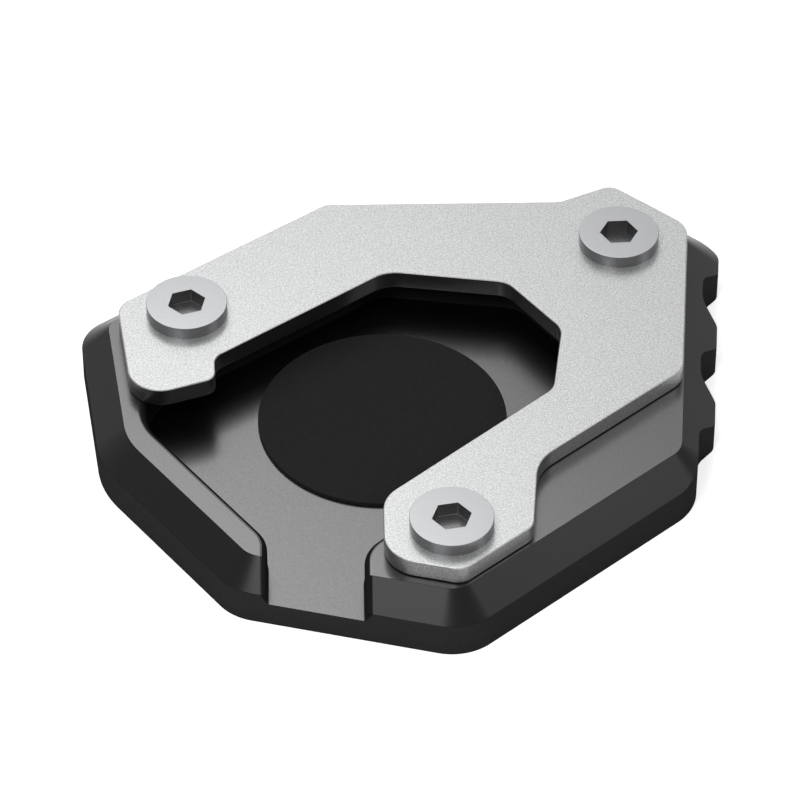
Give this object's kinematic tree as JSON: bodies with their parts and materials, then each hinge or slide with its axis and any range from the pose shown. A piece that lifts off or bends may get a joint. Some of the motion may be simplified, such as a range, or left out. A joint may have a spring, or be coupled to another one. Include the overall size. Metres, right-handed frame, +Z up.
{
  "type": "kickstand foot enlarger",
  "caption": "Wide bevelled shoe for a motorcycle side stand, with an open front slot, a rubber-lined foot pocket and a screwed-on clamp plate.",
  "frame": {"origin": "middle of the base's footprint, on its underside, where the part rests on the ground", "axes": "+Z up, away from the ground; -Y towards the open slot that the stand's foot slides in by; +X towards the side with the grip teeth"},
  "size_m": [0.0945, 0.0937, 0.014],
  "materials": {
    "anodised_base": "satin black anodised, machined",
    "blasted_plate": "bead-blasted, clear anodised, with bright chamfers",
    "pad_rubber": "matte",
    "screw_steel": "smooth satin"
  },
  "bodies": {
    "root": {"base_plate": "anodised_base", "clamp_plate": "blasted_plate", "foot_pad": "pad_rubber", "screw_left": "screw_steel", "screw_rear": "screw_steel", "screw_front": "screw_steel"}
  },
  "joints": []
}
